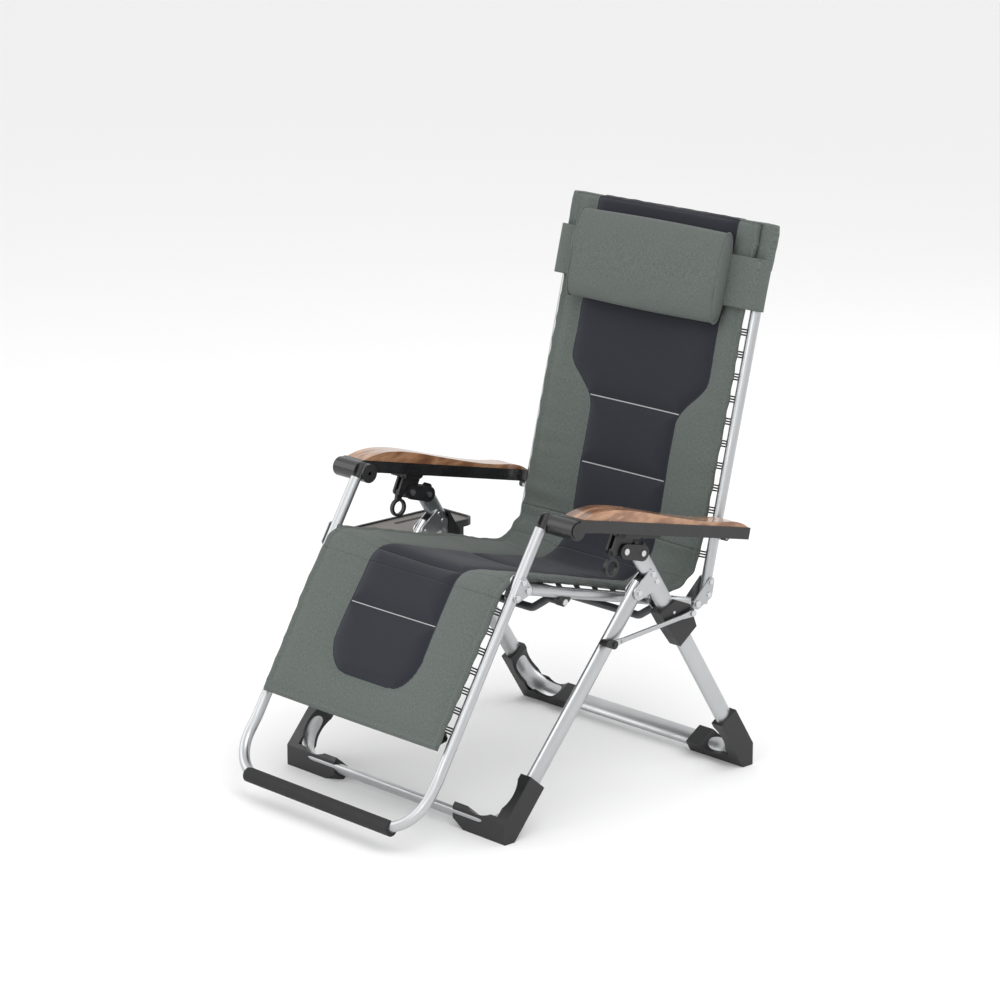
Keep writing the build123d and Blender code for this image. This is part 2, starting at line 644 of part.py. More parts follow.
# ---- Pillow on its strap ----
PILLOW_CENTRE = shifted(BACK_BOTTOM, BACK_UP, 650)
PILLOW_WIDTH, PILLOW_HEIGHT = 414.0, 184.0
PILLOW_BACK, PILLOW_FRONT = 27.0, 66.0
across_back = Plane(origin=(0, *PILLOW_CENTRE), x_dir=(1, 0, 0), z_dir=(0, *BACK_UP))
# Local y of this plane points behind the back, so the sitter's side is negative.
with BuildPart() as pillow:
    with BuildSketch(across_back.offset(-PILLOW_HEIGHT / 2)):
        with Locations((0, -(PILLOW_BACK + PILLOW_FRONT) / 2)):
            RectangleRounded(PILLOW_WIDTH, PILLOW_FRONT - PILLOW_BACK, 16)
    extrude(amount=PILLOW_HEIGHT)
    fillet(pillow.faces().sort_by(Axis(origin=(0, 0, 0), direction=(0, *BACK_UP)))[-1].edges(), 14)
    fillet(pillow.faces().sort_by(Axis(origin=(0, 0, 0), direction=(0, *BACK_UP)))[0].edges(), 14)
save(pillow, "pillow")

with BuildPart() as pillow_band:
    with BuildSketch(across_back.offset(-60)):
        with Locations((0, -5)):
            Rectangle(2 * 285, 39)
            Rectangle(2 * 282.5, 35, mode=Mode.SUBTRACT)
    extrude(amount=120)
save(pillow_band, "pillow_band")

# ---- Side tray, on the right ----
TRAY_TOP = 415.0
TRAY_INNER, TRAY_OUTER = -354.0, -475.0
TRAY_FRONT, TRAY_REAR = -80.0, 175.0


def tray_outline(inset, mode=Mode.ADD):
    """Tray outline, moved in from its edge by an inset."""
    width = TRAY_INNER - TRAY_OUTER - 2 * inset
    with Locations(((TRAY_INNER + TRAY_OUTER) / 2, (TRAY_FRONT + TRAY_REAR) / 2)):
        RectangleRounded(width, TRAY_REAR - TRAY_FRONT - 2 * inset, 26 - inset, mode=mode)


with BuildPart() as tray_plate:
    with BuildSketch(Plane.XY.offset(TRAY_TOP - 5)):
        tray_outline(6)
        with Locations((-440, 65)):
            SlotOverall(90, 13, rotation=90, mode=Mode.SUBTRACT)
    extrude(amount=5)
save(tray_plate, "tray_plate")

with BuildPart() as tray_rim:
    with BuildSketch(Plane.XY.offset(TRAY_TOP - 12)):
        tray_outline(0)
        tray_outline(6, Mode.SUBTRACT)
    extrude(amount=15)
save(tray_rim, "tray_rim")

SADDLE_FRONT, SADDLE_REAR = 49.0, 78.0


def leg_upper_side(y):
    """Height of the rear leg's upper side at a given y."""
    return SEAT_PIVOT[1] + (y - SEAT_PIVOT[0]) * LEG_UP[1] / LEG_UP[0] - LEG_DEPTH / 2 / LEG_UP[0]


# Saddle that drops over the rear leg from above, with the arm that carries the tray.
with BuildPart() as tray_clamp:
    slab(-326.5, -297.5, [
        (SADDLE_FRONT, 397),
        (SADDLE_FRONT, leg_upper_side(SADDLE_FRONT) + 4.6),
        (SADDLE_REAR, leg_upper_side(SADDLE_REAR) + 4.6),
        (SADDLE_REAR, 407),
    ])
    slab(-322.6, -301.4, [
        (SADDLE_FRONT - 5, 300),
        (SADDLE_FRONT - 5, leg_upper_side(SADDLE_FRONT - 5) + 0.6),
        (SADDLE_REAR + 5, leg_upper_side(SADDLE_REAR + 5) + 0.6),
        (SADDLE_REAR + 5, 300),
    ], Mode.SUBTRACT)
    with BuildSketch(Plane.XY.offset(393)) as arm:
        with Locations((-345, 61)):
            Rectangle(37, 22)
    extrude(arm.sketch, amount=9)
    with BuildSketch(Plane.XY.offset(376)) as block:
        with Locations((-377, 103)):
            RectangleRounded(32, 94, 6)
    extrude(block.sketch, amount=TRAY_TOP - 5 - 376)
save(tray_clamp, "tray_clamp")
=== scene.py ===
import bpy
import math
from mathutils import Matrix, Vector, noise


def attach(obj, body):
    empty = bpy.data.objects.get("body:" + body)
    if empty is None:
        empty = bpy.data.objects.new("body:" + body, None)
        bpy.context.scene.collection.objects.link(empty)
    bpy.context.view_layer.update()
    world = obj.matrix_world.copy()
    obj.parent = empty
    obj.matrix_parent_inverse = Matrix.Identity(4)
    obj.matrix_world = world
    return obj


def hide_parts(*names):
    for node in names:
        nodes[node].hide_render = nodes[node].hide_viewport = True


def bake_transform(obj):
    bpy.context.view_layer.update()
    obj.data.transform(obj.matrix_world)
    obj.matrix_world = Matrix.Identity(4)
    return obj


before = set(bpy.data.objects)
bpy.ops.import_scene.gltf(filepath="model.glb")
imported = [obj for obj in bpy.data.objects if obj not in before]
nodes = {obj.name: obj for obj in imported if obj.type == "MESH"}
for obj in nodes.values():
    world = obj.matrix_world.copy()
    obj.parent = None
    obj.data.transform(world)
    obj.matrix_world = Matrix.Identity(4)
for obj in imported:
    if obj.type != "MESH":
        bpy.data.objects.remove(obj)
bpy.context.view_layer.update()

# Side-view points of the CAD, as (y, z) in metres.
KNEE = (-0.276, 0.480)
HIP = (0.193, 0.359)
CALF_BEND = (-0.498, 0.147)
CALF_TOP = (-0.2317, 0.592)
BACK_BOTTOM = (0.2205, 0.352)
BACK_TOP = (0.4028, 1.090)
RAIL_X = 0.270
HALF_WIDTH = 0.262          # of the panel
FABRIC_HALF = 0.004         # half the thickness of its cloth at a seam
PAD_NAVY, PAD_BORDER = 0.0105, 0.0075   # padding above the cloth
SEAM_SPREAD = 0.016         # how far from a seam the padding fills out
RIM = 0.006                 # width over which the edges close


def unit(a, b):
    """Unit side-view direction from a to b."""
    length = math.hypot(b[0] - a[0], b[1] - a[1])
    return ((b[0] - a[0]) / length, (b[1] - a[1]) / length)


def moved(p, d, t, n=0.0):
    """Point p moved t along d and n to the left of d."""
    return (p[0] + d[0] * t - d[1] * n, p[1] + d[1] * t + d[0] * n)


CALF_UP = unit(CALF_BEND, CALF_TOP)
SEAT_BACK = unit(KNEE, HIP)
BACK_UP = unit(BACK_BOTTOM, BACK_TOP)


# ---------------------------------------------------------------- materials
def shader(name, colour, rough, metal=0.0):
    """New material; returns its node tree and its main shader."""
    material = bpy.data.materials.new(name)
    material.use_nodes = True
    tree = material.node_tree
    bsdf = tree.nodes["Principled BSDF"]
    bsdf.inputs["Base Color"].default_value = (*colour, 1)
    bsdf.inputs["Roughness"].default_value = rough
    bsdf.inputs["Metallic"].default_value = metal
    return material, tree, bsdf


def add(tree, kind, **settings):
    """New shader node; a setting whose name is a socket sets that socket."""
    node = tree.nodes.new(kind)
    for key, value in settings.items():
        if key in node.inputs:
            node.inputs[key].default_value = value
        else:
            setattr(node, key, value)
    return node


def noise_at(tree, scale, detail=3.0, stretch=(1, 1, 1)):
    """Noise in object space, stretched along an axis where the finish has a grain."""
    place = add(tree, "ShaderNodeTexCoord")
    mapping = add(tree, "ShaderNodeMapping")
    mapping.inputs["Scale"].default_value = stretch
    tree.links.new(place.outputs["Object"], mapping.inputs["Vector"])
    texture = add(tree, "ShaderNodeTexNoise", Scale=scale, Detail=detail)
    tree.links.new(mapping.outputs["Vector"], texture.inputs["Vector"])
    return texture.outputs["Fac"]


def spread(tree, value, low, high):
    """Map a 0.3 to 0.7 value to a range."""
    node = add(tree, "ShaderNodeMapRange")
    node.inputs["From Min"].default_value = 0.3
    node.inputs["From Max"].default_value = 0.7
    node.inputs["To Min"].default_value = low
    node.inputs["To Max"].default_value = high
    tree.links.new(value, node.inputs["Value"])
    return node.outputs["Result"]


def blend_colours(tree, factor, first, second):
    """Mix of two colours, or of two colour sockets."""
    node = add(tree, "ShaderNodeMix", data_type="RGBA")
    if hasattr(factor, "links"):
        tree.links.new(factor, node.inputs[0])
    else:
        node.inputs[0].default_value = factor
    for value, socket in ((first, node.inputs[6]), (second, node.inputs[7])):
        if hasattr(value, "links"):
            tree.links.new(value, socket)
        else:
            socket.default_value = (*value, 1)
    return node.outputs[2]


def bump(tree, bsdf, height, strength, distance):
    """Bump the surface by a height socket."""
    node = add(tree, "ShaderNodeBump", Strength=strength, Distance=distance)
    tree.links.new(height, node.inputs["Height"])
    tree.links.new(node.outputs["Normal"], bsdf.inputs["Normal"])


def metal(name, colour, rough, grain=(1, 1, 1)):
    """Anodised or plated metal with a fine drawn grain and slight tone changes."""
    material, tree, bsdf = shader(name, colour, rough, 1.0)
    fine = noise_at(tree, 900, 2, grain)
    cloud = noise_at(tree, 14, 3)
    tree.links.new(spread(tree, cloud, rough - 0.05, rough + 0.08), bsdf.inputs["Roughness"])
    dark = tuple(c * 0.9 for c in colour)
    tree.links.new(blend_colours(tree, cloud, colour, dark), bsdf.inputs["Base Color"])
    bump(tree, bsdf, fine, 0.08, 0.0002)
    return material


def plastic(name, colour, rough, grain=700, depth=0.25):
    """Moulded plastic with a fine grained skin."""
    material, tree, bsdf = shader(name, colour, rough)
    cloud = noise_at(tree, 30, 4)
    tree.links.new(spread(tree, cloud, rough - 0.06, rough + 0.08), bsdf.inputs["Roughness"])
    worn = tuple(min(1, c * 1.6 + 0.004) for c in colour)
    tree.links.new(blend_colours(tree, spread(tree, cloud, 0, 0.5), colour, worn), bsdf.inputs["Base Color"])
    bump(tree, bsdf, noise_at(tree, grain, 2), depth, 0.0003)
    return material


def wood(name):
    """Glossy wood print: long dark and light bands that follow the armrest."""
    material, tree, bsdf = shader(name, (0.3, 0.15, 0.08), 0.25)
    stripes = noise_at(tree, 16, 5, (3.2, 0.55, 1.4))
    fine = noise_at(tree, 120, 4, (2.5, 0.12, 1.0))
    ramp = add(tree, "ShaderNodeValToRGB")
    stops = ((0.30, (0.10, 0.04, 0.018)), (0.45, (0.27, 0.125, 0.06)), (0.56, (0.46, 0.25, 0.135)),
             (0.66, (0.22, 0.10, 0.05)), (0.78, (0.52, 0.31, 0.18)))
    ramp.color_ramp.elements[0].position = stops[0][0]
    ramp.color_ramp.elements[0].color = (*stops[0][1], 1)
    ramp.color_ramp.elements[1].position = stops[-1][0]
    ramp.color_ramp.elements[1].color = (*stops[-1][1], 1)
    for position, colour in stops[1:-1]:
        ramp.color_ramp.elements.new(position).color = (*colour, 1)
    tree.links.new(stripes, ramp.inputs["Fac"])
    shade = blend_colours(tree, spread(tree, fine, 0.0, 0.35), ramp.outputs["Color"], (0.12, 0.05, 0.025))
    tree.links.new(shade, bsdf.inputs["Base Color"])
    bsdf.inputs["Coat Weight"].default_value = 0.6
    bsdf.inputs["Coat Roughness"].default_value = 0.12
    bump(tree, bsdf, fine, 0.06, 0.0002)
    return material


GREY_LIGHT, GREY_DARK = (0.120, 0.140, 0.128), (0.046, 0.056, 0.051)
NAVY_LIGHT, NAVY_DARK = (0.007, 0.009, 0.018), (0.003, 0.004, 0.009)
THREAD = (0.34, 0.36, 0.36)


def weave(tree, size):
    """Height of a plain weave from the cloth's own UV, in metres."""
    place = add(tree, "ShaderNodeUVMap", uv_map="cloth")
    heights = []
    for direction in ("X", "Y"):
        wave = add(tree, "ShaderNodeTexWave", bands_direction=direction, Scale=0.314 / size)
        wave.inputs["Distortion"].default_value = 1.2
        wave.inputs["Detail Scale"].default_value = 1.5
        tree.links.new(place.outputs["UV"], wave.inputs["Vector"])
        heights.append(wave.outputs["Fac"])
    both = add(tree, "ShaderNodeMath", operation="MULTIPLY")
    tree.links.new(heights[0], both.inputs[0])
    tree.links.new(heights[1], both.inputs[1])
    return both.outputs[0], place.outputs["UV"]


def melange(tree, uv, light, dark):
    """Two-tone yarn: short flecks across each other."""
    flecks = []
    for stretch in ((900, 160, 1), (160, 900, 1)):
        mapping = add(tree, "ShaderNodeMapping")
        mapping.inputs["Scale"].default_value = stretch
        tree.links.new(uv, mapping.inputs["Vector"])
        texture = add(tree, "ShaderNodeTexNoise", Scale=1.0, Detail=2.0)
        tree.links.new(mapping.outputs["Vector"], texture.inputs["Vector"])
        flecks.append(texture.outputs["Fac"])
    both = add(tree, "ShaderNodeMath", operation="ADD")
    tree.links.new(flecks[0], both.inputs[0])
    tree.links.new(flecks[1], both.inputs[1])
    half = add(tree, "ShaderNodeMath", operation="MULTIPLY")
    half.inputs[1].default_value = 0.5
    tree.links.new(both.outputs[0], half.inputs[0])
    return blend_colours(tree, spread(tree, half.outputs[0], 0.0, 1.0), dark, light)


def threshold(tree, attribute, limit, above=True):
    """1 where a stored distance is above, or below, a limit."""
    stored = add(tree, "ShaderNodeAttribute", attribute_name=attribute)
    test = add(tree, "ShaderNodeMath", operation="GREATER_THAN" if above else "LESS_THAN")
    test.inputs[1].default_value = limit
    tree.links.new(stored.outputs["Fac"], test.inputs[0])
    return test.outputs[0]


def cloth(name, panels=False, navy=False):
    """Woven polyester; with panels, the navy middle and its stitch lines come from stored distances."""
    material, tree, bsdf = shader(name, GREY_LIGHT, 0.88)
    height, uv = weave(tree, 0.0016)
    colour = melange(tree, uv, NAVY_LIGHT if navy else GREY_LIGHT, NAVY_DARK if navy else GREY_DARK)
    if panels:
        dark = melange(tree, uv, NAVY_LIGHT, NAVY_DARK)
        colour = blend_colours(tree, threshold(tree, "navy", 0.0), colour, dark)
        colour = blend_colours(tree, threshold(tree, "stitch", 0.0016, False), colour, THREAD)
    tree.links.new(colour, bsdf.inputs["Base Color"])
    bsdf.inputs["Sheen Weight"].default_value = 0.08
    bsdf.inputs["Sheen Roughness"].default_value = 0.5
    bump(tree, bsdf, height, 0.35, 0.0006)
    return material


SILVER = metal("silver_tube", (0.50, 0.51, 0.52), 0.34)
STEEL = metal("plated_steel", (0.46, 0.47, 0.48), 0.36)
RIVET = metal("rivets", (0.62, 0.62, 0.63), 0.28)
DARK_BAR = plastic("dark_bar", (0.055, 0.058, 0.062), 0.38)
NYLON = plastic("black_nylon", (0.007, 0.007, 0.008), 0.42)
GLOSS = plastic("arm_shell", (0.010, 0.010, 0.011), 0.26, 500, 0.08)
FOAM = plastic("black_foam", (0.008, 0.008, 0.009), 0.75, 260, 0.7)
ELASTIC = plastic("elastic", (0.012, 0.012, 0.012), 0.7, 900, 0.5)
TRAY = plastic("tray_top", (0.11, 0.10, 0.09), 0.45)
WOOD = wood("wood_print")
CLOTH = cloth("panel_cloth", panels=True)
PLAIN_CLOTH = cloth("plain_cloth")
NAVY_CLOTH = cloth("navy_cloth", navy=True)

FINISH = {
    SILVER: ["rear_leg_frame", "front_leg_frame", "seat_rail_left", "seat_rail_right", "legrest_frame",
             "back_frame", "brace_links", "leg_gusset_plates"],
    STEEL: ["seat_pivot_brackets", "legrest_hinge_plates", "back_hinge_plates"],
    RIVET: ["gusset_rivets", "knuckle_rivets", "collar_rivets", "cross_bar_bolts", "legrest_rivets",
            "back_rivets", "seat_pivot_pins", "knee_pins", "back_pins", "arm_pins", "slider_pins"],
    DARK_BAR: ["seat_cross_bar_front", "seat_cross_bar_rear"],
    NYLON: ["rear_foot_left", "rear_foot_right", "front_foot_left", "front_foot_right", "leg_knuckle_left",
            "leg_knuckle_right", "front_leg_caps", "brace_forks", "leg_collar_left", "leg_collar_right",
            "cross_bar_brackets", "legrest_tabs", "slider_block_left", "slider_block_right",
            "lock_lever_left", "lock_lever_right", "tray_rim", "tray_clamp"],
    GLOSS: ["arm_shell_left", "arm_shell_right", "arm_hub_caps", "legrest_hubs"],
    FOAM: ["foot_grip"],
    TRAY: ["tray_plate"],
    WOOD: ["arm_top_left", "arm_top_right"],
}
for finish, names in FINISH.items():
    for name in names:
        nodes[name].data.materials.clear()
        nodes[name].data.materials.append(finish)


# ---------------------------------------------------------------- mesh helpers
def mesh_object(name, points, faces, material, uvs=None, attributes=None, smooth=True):
    """New mesh object; uvs and attributes are given per vertex."""
    mesh = bpy.data.meshes.new(name)
    mesh.from_pydata(points, [], faces)
    mesh.materials.append(material)
    if uvs:
        layer = mesh.uv_layers.new(name="cloth")
        for loop in mesh.loops:
            layer.data[loop.index].uv = uvs[loop.vertex_index]
    for key, values in (attributes or {}).items():
        mesh.attributes.new(key, "FLOAT", "POINT").data.foreach_set("value", values)
    mesh.polygons.foreach_set("use_smooth", [smooth] * len(mesh.polygons))
    mesh.update()
    thing = bpy.data.objects.new(name, mesh)
    bpy.context.scene.collection.objects.link(thing)
    return thing


def ring_faces(rows, columns, closed_rows=False):
    """Quads of a grid whose columns close on themselves, and whose rows do if closed_rows."""
    count = rows if closed_rows else rows - 1
    faces = []
    for row in range(count):
        after = (row + 1) % rows
        for column in range(columns):
            beside = (column + 1) % columns
            faces.append((row * columns + column, row * columns + beside,
                          after * columns + beside, after * columns + column))
    return faces


def smooth_step(value, low, high):
    """Ease from 0 at low to 1 at high."""
    t = min(1.0, max(0.0, (value - low) / (high - low)))
    return t * t * (3 - 2 * t)


def signed_power(value, power):
    """Power of the size of a value, with the value's sign: squares off a sine or cosine."""
    return math.copysign(abs(value) ** power, value)


# ---------------------------------------------------------------- the long padded panel
CALF_LOW = moved(CALF_BEND, CALF_UP, 0.050, 0.021)
SEAT_LINE = moved(KNEE, SEAT_BACK, 0.0, 0.018)
BACK_LINE = moved(BACK_BOTTOM, BACK_UP, 0.0, 0.020)
BACK_PANEL = 0.772          # length of the panel above BACK_LINE's start


def crossing(p, d, q, e):
    """Where two side-view lines meet."""
    t = ((q[0] - p[0]) * e[1] - (q[1] - p[1]) * e[0]) / (d[0] * e[1] - d[1] * e[0])
    return (p[0] + d[0] * t, p[1] + d[1] * t)


KNEE_CORNER = crossing(CALF_LOW, CALF_UP, SEAT_LINE, SEAT_BACK)
HIP_CORNER = crossing(SEAT_LINE, SEAT_BACK, BACK_LINE, BACK_UP)
PANEL_TOP = moved(BACK_LINE, BACK_UP, BACK_PANEL)
KNEE_RADIUS, HIP_RADIUS = 0.060, 0.085


def corner_parts(before, corner, after, radius):
    """Both tangent points of a rounded corner, its centre, its turn and its first direction."""
    d, e = unit(before, corner), unit(corner, after)
    turn = math.atan2(d[0] * e[1] - d[1] * e[0], d[0] * e[0] + d[1] * e[1])
    reach = radius * math.tan(abs(turn) / 2)
    start = moved(corner, d, -reach)
    centre = moved(start, d, 0, math.copysign(radius, turn))
    return start, moved(corner, e, reach), centre, turn, d


KNEE_ARC = corner_parts(CALF_LOW, KNEE_CORNER, HIP_CORNER, KNEE_RADIUS)
HIP_ARC = corner_parts(KNEE_CORNER, HIP_CORNER, PANEL_TOP, HIP_RADIUS)


def distance(a, b):
    """Side-view distance."""
    return math.hypot(b[0] - a[0], b[1] - a[1])


# Lengths along the panel's middle line where its straight runs and its arcs meet.
S_KNEE = distance(CALF_LOW, KNEE_ARC[0])
S_SEAT = S_KNEE + KNEE_RADIUS * abs(KNEE_ARC[3])
S_HIP = S_SEAT + distance(KNEE_ARC[1], HIP_ARC[0])
S_BACK = S_HIP + HIP_RADIUS * abs(HIP_ARC[3])
S_END = S_BACK + distance(HIP_ARC[1], PANEL_TOP)


def along_arc(arc, radius, run):
    """Point and direction on a rounded corner, run metres after its start."""
    start, _, centre, turn, d = arc
    angle = math.copysign(run / radius, turn)
    c, s = math.cos(angle), math.sin(angle)
    y, z = start[0] - centre[0], start[1] - centre[1]
    point = (centre[0] + y * c - z * s, centre[1] + y * s + z * c)
    return point, (d[0] * c - d[1] * s, d[0] * s + d[1] * c)


def panel_line(s):
    """Middle line of the panel: side-view point and direction, s metres from its lower edge."""
    if s < S_KNEE:
        return moved(CALF_LOW, CALF_UP, s), CALF_UP
    if s < S_SEAT:
        return along_arc(KNEE_ARC, KNEE_RADIUS, s - S_KNEE)
    if s < S_HIP:
        return moved(KNEE_ARC[1], SEAT_BACK, s - S_SEAT), SEAT_BACK
    if s < S_BACK:
        return along_arc(HIP_ARC, HIP_RADIUS, s - S_HIP)
    return moved(HIP_ARC[1], BACK_UP, s - S_BACK), BACK_UP


# Cross seams of the navy panel, and the levels where its outline changes.
CALF_SEAM, KNEE_SEAM = 0.225, 0.352
NAVY_LOW, NAVY_CORNER = 0.083, 0.075
NAVY_FLAT, NAVY_HALF = 0.062, 0.128     # half widths of its lower edge and of its middle
SEAT_SEAM = S_SEAT + 0.21
BACK_START = S_END - BACK_PANEL
BACK_SEAM_LOW, BACK_SEAM_HIGH = BACK_START + 0.222, BACK_START + 0.362
NAVY_WIDE = BACK_START + 0.440
SEAMS = (CALF_SEAM, KNEE_SEAM, SEAT_SEAM, BACK_SEAM_LOW, BACK_SEAM_HIGH)


def navy_half(s):
    """Half width of the navy middle; -1 below its lower edge."""
    if s < NAVY_LOW:
        return -1.0
    if s < NAVY_LOW + NAVY_CORNER:
        rise = 1 - (s - NAVY_LOW) / NAVY_CORNER
        return NAVY_FLAT + (NAVY_HALF - NAVY_FLAT) * math.sqrt(max(0.0, 1 - rise * rise))
    width = NAVY_HALF - 0.006 * math.sin(math.pi * (s - NAVY_LOW) / (S_END - NAVY_LOW))
    flare = smooth_step(s, BACK_SEAM_HIGH - 0.035, NAVY_WIDE)
    return width + 0.072 * flare ** 1.4


def seam_distances(x, s):
    """Signed distance inside the navy middle, distance to the nearest sewn line, and to a cross seam."""
    step = 0.004
    half = navy_half(s)
    ahead = navy_half(s + step)
    tilt = 1.0
    if half > 0 and ahead > 0:
        tilt = 1 / math.sqrt(1 + ((ahead - half) / step) ** 2)
    navy = (half - abs(x)) * tilt
    if s < NAVY_LOW + 0.02:
        navy = min(navy, s - NAVY_LOW) if half > 0 else -max(NAVY_LOW - s, abs(x) - NAVY_FLAT)
    cross = min(abs(s - seam) for seam in SEAMS) if navy > 0 else 1.0
    edge = min(HALF_WIDTH - 0.016 - abs(x), s - 0.014)
    sewn = min(abs(navy), cross, abs(edge))
    return navy, sewn, cross


def sag(x, s):
    """How far the panel hangs away from the sitter in its middle."""
    depth = 0.010 + 0.010 * smooth_step(s, S_KNEE - 0.15, S_SEAT + 0.1)
    depth -= 0.006 * smooth_step(s, S_HIP, S_BACK + 0.2)
    u = x / HALF_WIDTH
    return depth * (1 - u * u)


def wrinkles(x, s):
    """Soft folds: stronger at the hip, the knee and the outer borders."""
    near_hip = math.exp(-((s - S_HIP - 0.06) / 0.13) ** 2)
    near_knee = math.exp(-((s - S_KNEE - 0.04) / 0.10) ** 2)
    border = smooth_step(abs(x), 0.12, 0.24)
    soft = noise.noise(Vector((x * 6, s * 9, 1.7))) * 0.0030
    across = noise.noise(Vector((x * 7, s * 34, 5.1)))
    across *= (0.0062 * near_hip + 0.0032 * near_knee) * (0.35 + border)
    puckers = noise.noise(Vector((x * 4, s * 46, 9.3))) * 0.0018 * border
    return soft + across + puckers


def panel_point(x, s, side):
    """Point on the panel's sitter side (side 1) or its underside (side -1)."""
    point, d = panel_line(s)
    navy, sewn, _ = seam_distances(x, s)
    rim = max(0.0, min(HALF_WIDTH - abs(x), s, S_END - s))
    closing = math.sqrt(min(1.0, rim / RIM))
    lift = -sag(x, s) + wrinkles(x, s)
    if side > 0:
        depth = PAD_NAVY if navy > 0 else PAD_BORDER
        fullness = 1 - math.exp(-sewn / SEAM_SPREAD)
        lift += (FABRIC_HALF + depth * fullness) * closing
    else:
        lift -= FABRIC_HALF * closing
    y, z = moved(point, d, 0, lift)
    scallop = 0.002 * abs(math.cos(s * 70)) * smooth_step(abs(x), 0.2, HALF_WIDTH)
    return (x - math.copysign(scallop, x), y, z)


def panel_piece(name, low, high, node=None):
    """Closed strip of the padded panel between two lengths along it."""
    steps_x = 98
    rows = max(4, round((high - low) / 0.0045))
    points, uvs, navies, stitches = [], [], [], []
    for row in range(rows + 1):
        s = low + (high - low) * row / rows
        ring = [(-HALF_WIDTH + 2 * HALF_WIDTH * i / steps_x, 1) for i in range(steps_x + 1)]
        ring += [(x, -1) for x, _ in reversed(ring)]
        for x, side in ring:
            points.append(panel_point(x, s, side))
            uvs.append((x + (0.6 if side < 0 else 0), s))
            navy, _, cross = seam_distances(x, s)
            navies.append(navy if side > 0 else -1.0)
            stitches.append(cross if side > 0 else 1.0)
    columns = 2 * (steps_x + 1)
    faces = ring_faces(rows + 1, columns)
    faces = [tuple(reversed(face)) for face in faces]
    for row, flip in ((0, False), (rows, True)):
        for i in range(steps_x):
            a, b = row * columns + i, row * columns + i + 1
            c, d = row * columns + columns - 2 - i, row * columns + columns - 1 - i
            faces.append((d, c, b, a) if flip else (a, b, c, d))
    piece = mesh_object(name, points, faces, CLOTH, uvs, {"navy": navies, "stitch": stitches})
    if node:
        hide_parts(node)
    return piece


KNEE_MIDDLE = (S_KNEE + S_SEAT) / 2
HIP_MIDDLE = (S_HIP + S_BACK) / 2
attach(panel_piece("calf_panel", 0.0, S_KNEE, "legrest_pad"), "legrest")
for part, low, high in (("knee_panel_lower", S_KNEE, KNEE_MIDDLE),
                        ("knee_panel_upper", KNEE_MIDDLE, S_SEAT)):
    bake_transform(panel_piece(part, low, high))
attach(panel_piece("seat_panel", S_SEAT, S_HIP, "seat_pad"), "seat")
for part, low, high in (("hip_panel_lower", S_HIP, HIP_MIDDLE),
                        ("hip_panel_upper", HIP_MIDDLE, S_BACK)):
    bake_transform(panel_piece(part, low, high))
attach(panel_piece("back_panel", S_BACK, S_END, "back_pad"), "back")


# ---------------------------------------------------------------- sleeve and corner pockets on the top bar
def back_plane(x, up, front=0.0):
    """Point in the back frame's plane: across, up from the tube's lower end, and towards the sitter."""
    y, z = moved(BACK_BOTTOM, BACK_UP, up, front)
    return Vector((x, y, z))


BACK_LENGTH = distance(BACK_BOTTOM, BACK_TOP)


def bar_sleeve(name, half, material, radius):
    """Fabric wrapped round the middle of the back frame's top bar."""
    rows, columns = max(6, round(2 * half / 0.004)), 36
    points, uvs = [], []
    for row in range(rows + 1):
        x = -half + 2 * half * row / rows
        for column in range(columns):
            a = 2 * math.pi * column / columns
            puff = radius + 0.0012 * noise.noise(Vector((x * 40, math.cos(a) * 2, math.sin(a) * 2)))
            points.append(tuple(back_plane(x, BACK_LENGTH + puff * math.sin(a), puff * math.cos(a))))
            uvs.append((x, a * radius))
    sleeve = mesh_object(name, points, ring_faces(rows + 1, columns), material, uvs)
    thick = sleeve.modifiers.new("cloth", "SOLIDIFY")
    thick.thickness = 0.0015
    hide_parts("back_sleeve")
    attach(sleeve, "back")


bar_sleeve("top_sleeve", 0.195, NAVY_CLOTH, 0.0142)


def corner_pocket(side):
    """Sewn fabric pocket over one upper corner of the back frame."""
    outline = [(0.188, 0.0140), (0.230, 0.0145), (0.262, 0.0150), (0.2835, 0.0140), (0.2865, -0.004),
               (0.2860, -0.030), (0.2850, -0.056), (0.2840, -0.082), (0.256, -0.080), (0.244, -0.052),
               (0.226, -0.030), (0.204, -0.018), (0.188, -0.014)]
    rings, steps, half_depth = 26, 5, 0.0150
    middle_x, middle_up = 0.262, -0.008
    points, uvs, loop = [], [], []
    for (x, up), (next_x, next_up) in zip(outline, outline[1:] + outline[:1]):
        for step in range(steps):
            loop.append((x + (next_x - x) * step / steps, up + (next_up - up) * step / steps))
    for ring in range(2 * rings + 1):
        share = 1 - abs(ring - rings) / rings
        radius = 1 - (1 - share) ** 2.2
        front = math.copysign(half_depth * math.sqrt(max(0.0, 1 - radius ** 12)), rings - ring)
        scale = max(radius, 0.02)
        for x, up in loop:
            out_x = middle_x + (x - middle_x) * scale
            out_up = middle_up + (up - middle_up) * scale
            ripple = 0.0008 * noise.noise(Vector((out_x * 60, out_up * 60, 3.0 + side)))
            points.append(tuple(back_plane(side * out_x, BACK_LENGTH + out_up, front + ripple)))
            uvs.append((out_x, out_up))
    faces = ring_faces(2 * rings + 1, len(loop))
    faces.append(tuple(reversed(range(len(loop)))))
    faces.append(tuple(2 * rings * len(loop) + k for k in range(len(loop))))
    if side < 0:
        faces = [tuple(reversed(face)) for face in faces]
    name = "corner_cap_" + ("left" if side > 0 else "right")
    pocket = mesh_object(name, points, faces, PLAIN_CLOTH, uvs)
    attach(pocket, "back")


corner_pocket(1)
corner_pocket(-1)


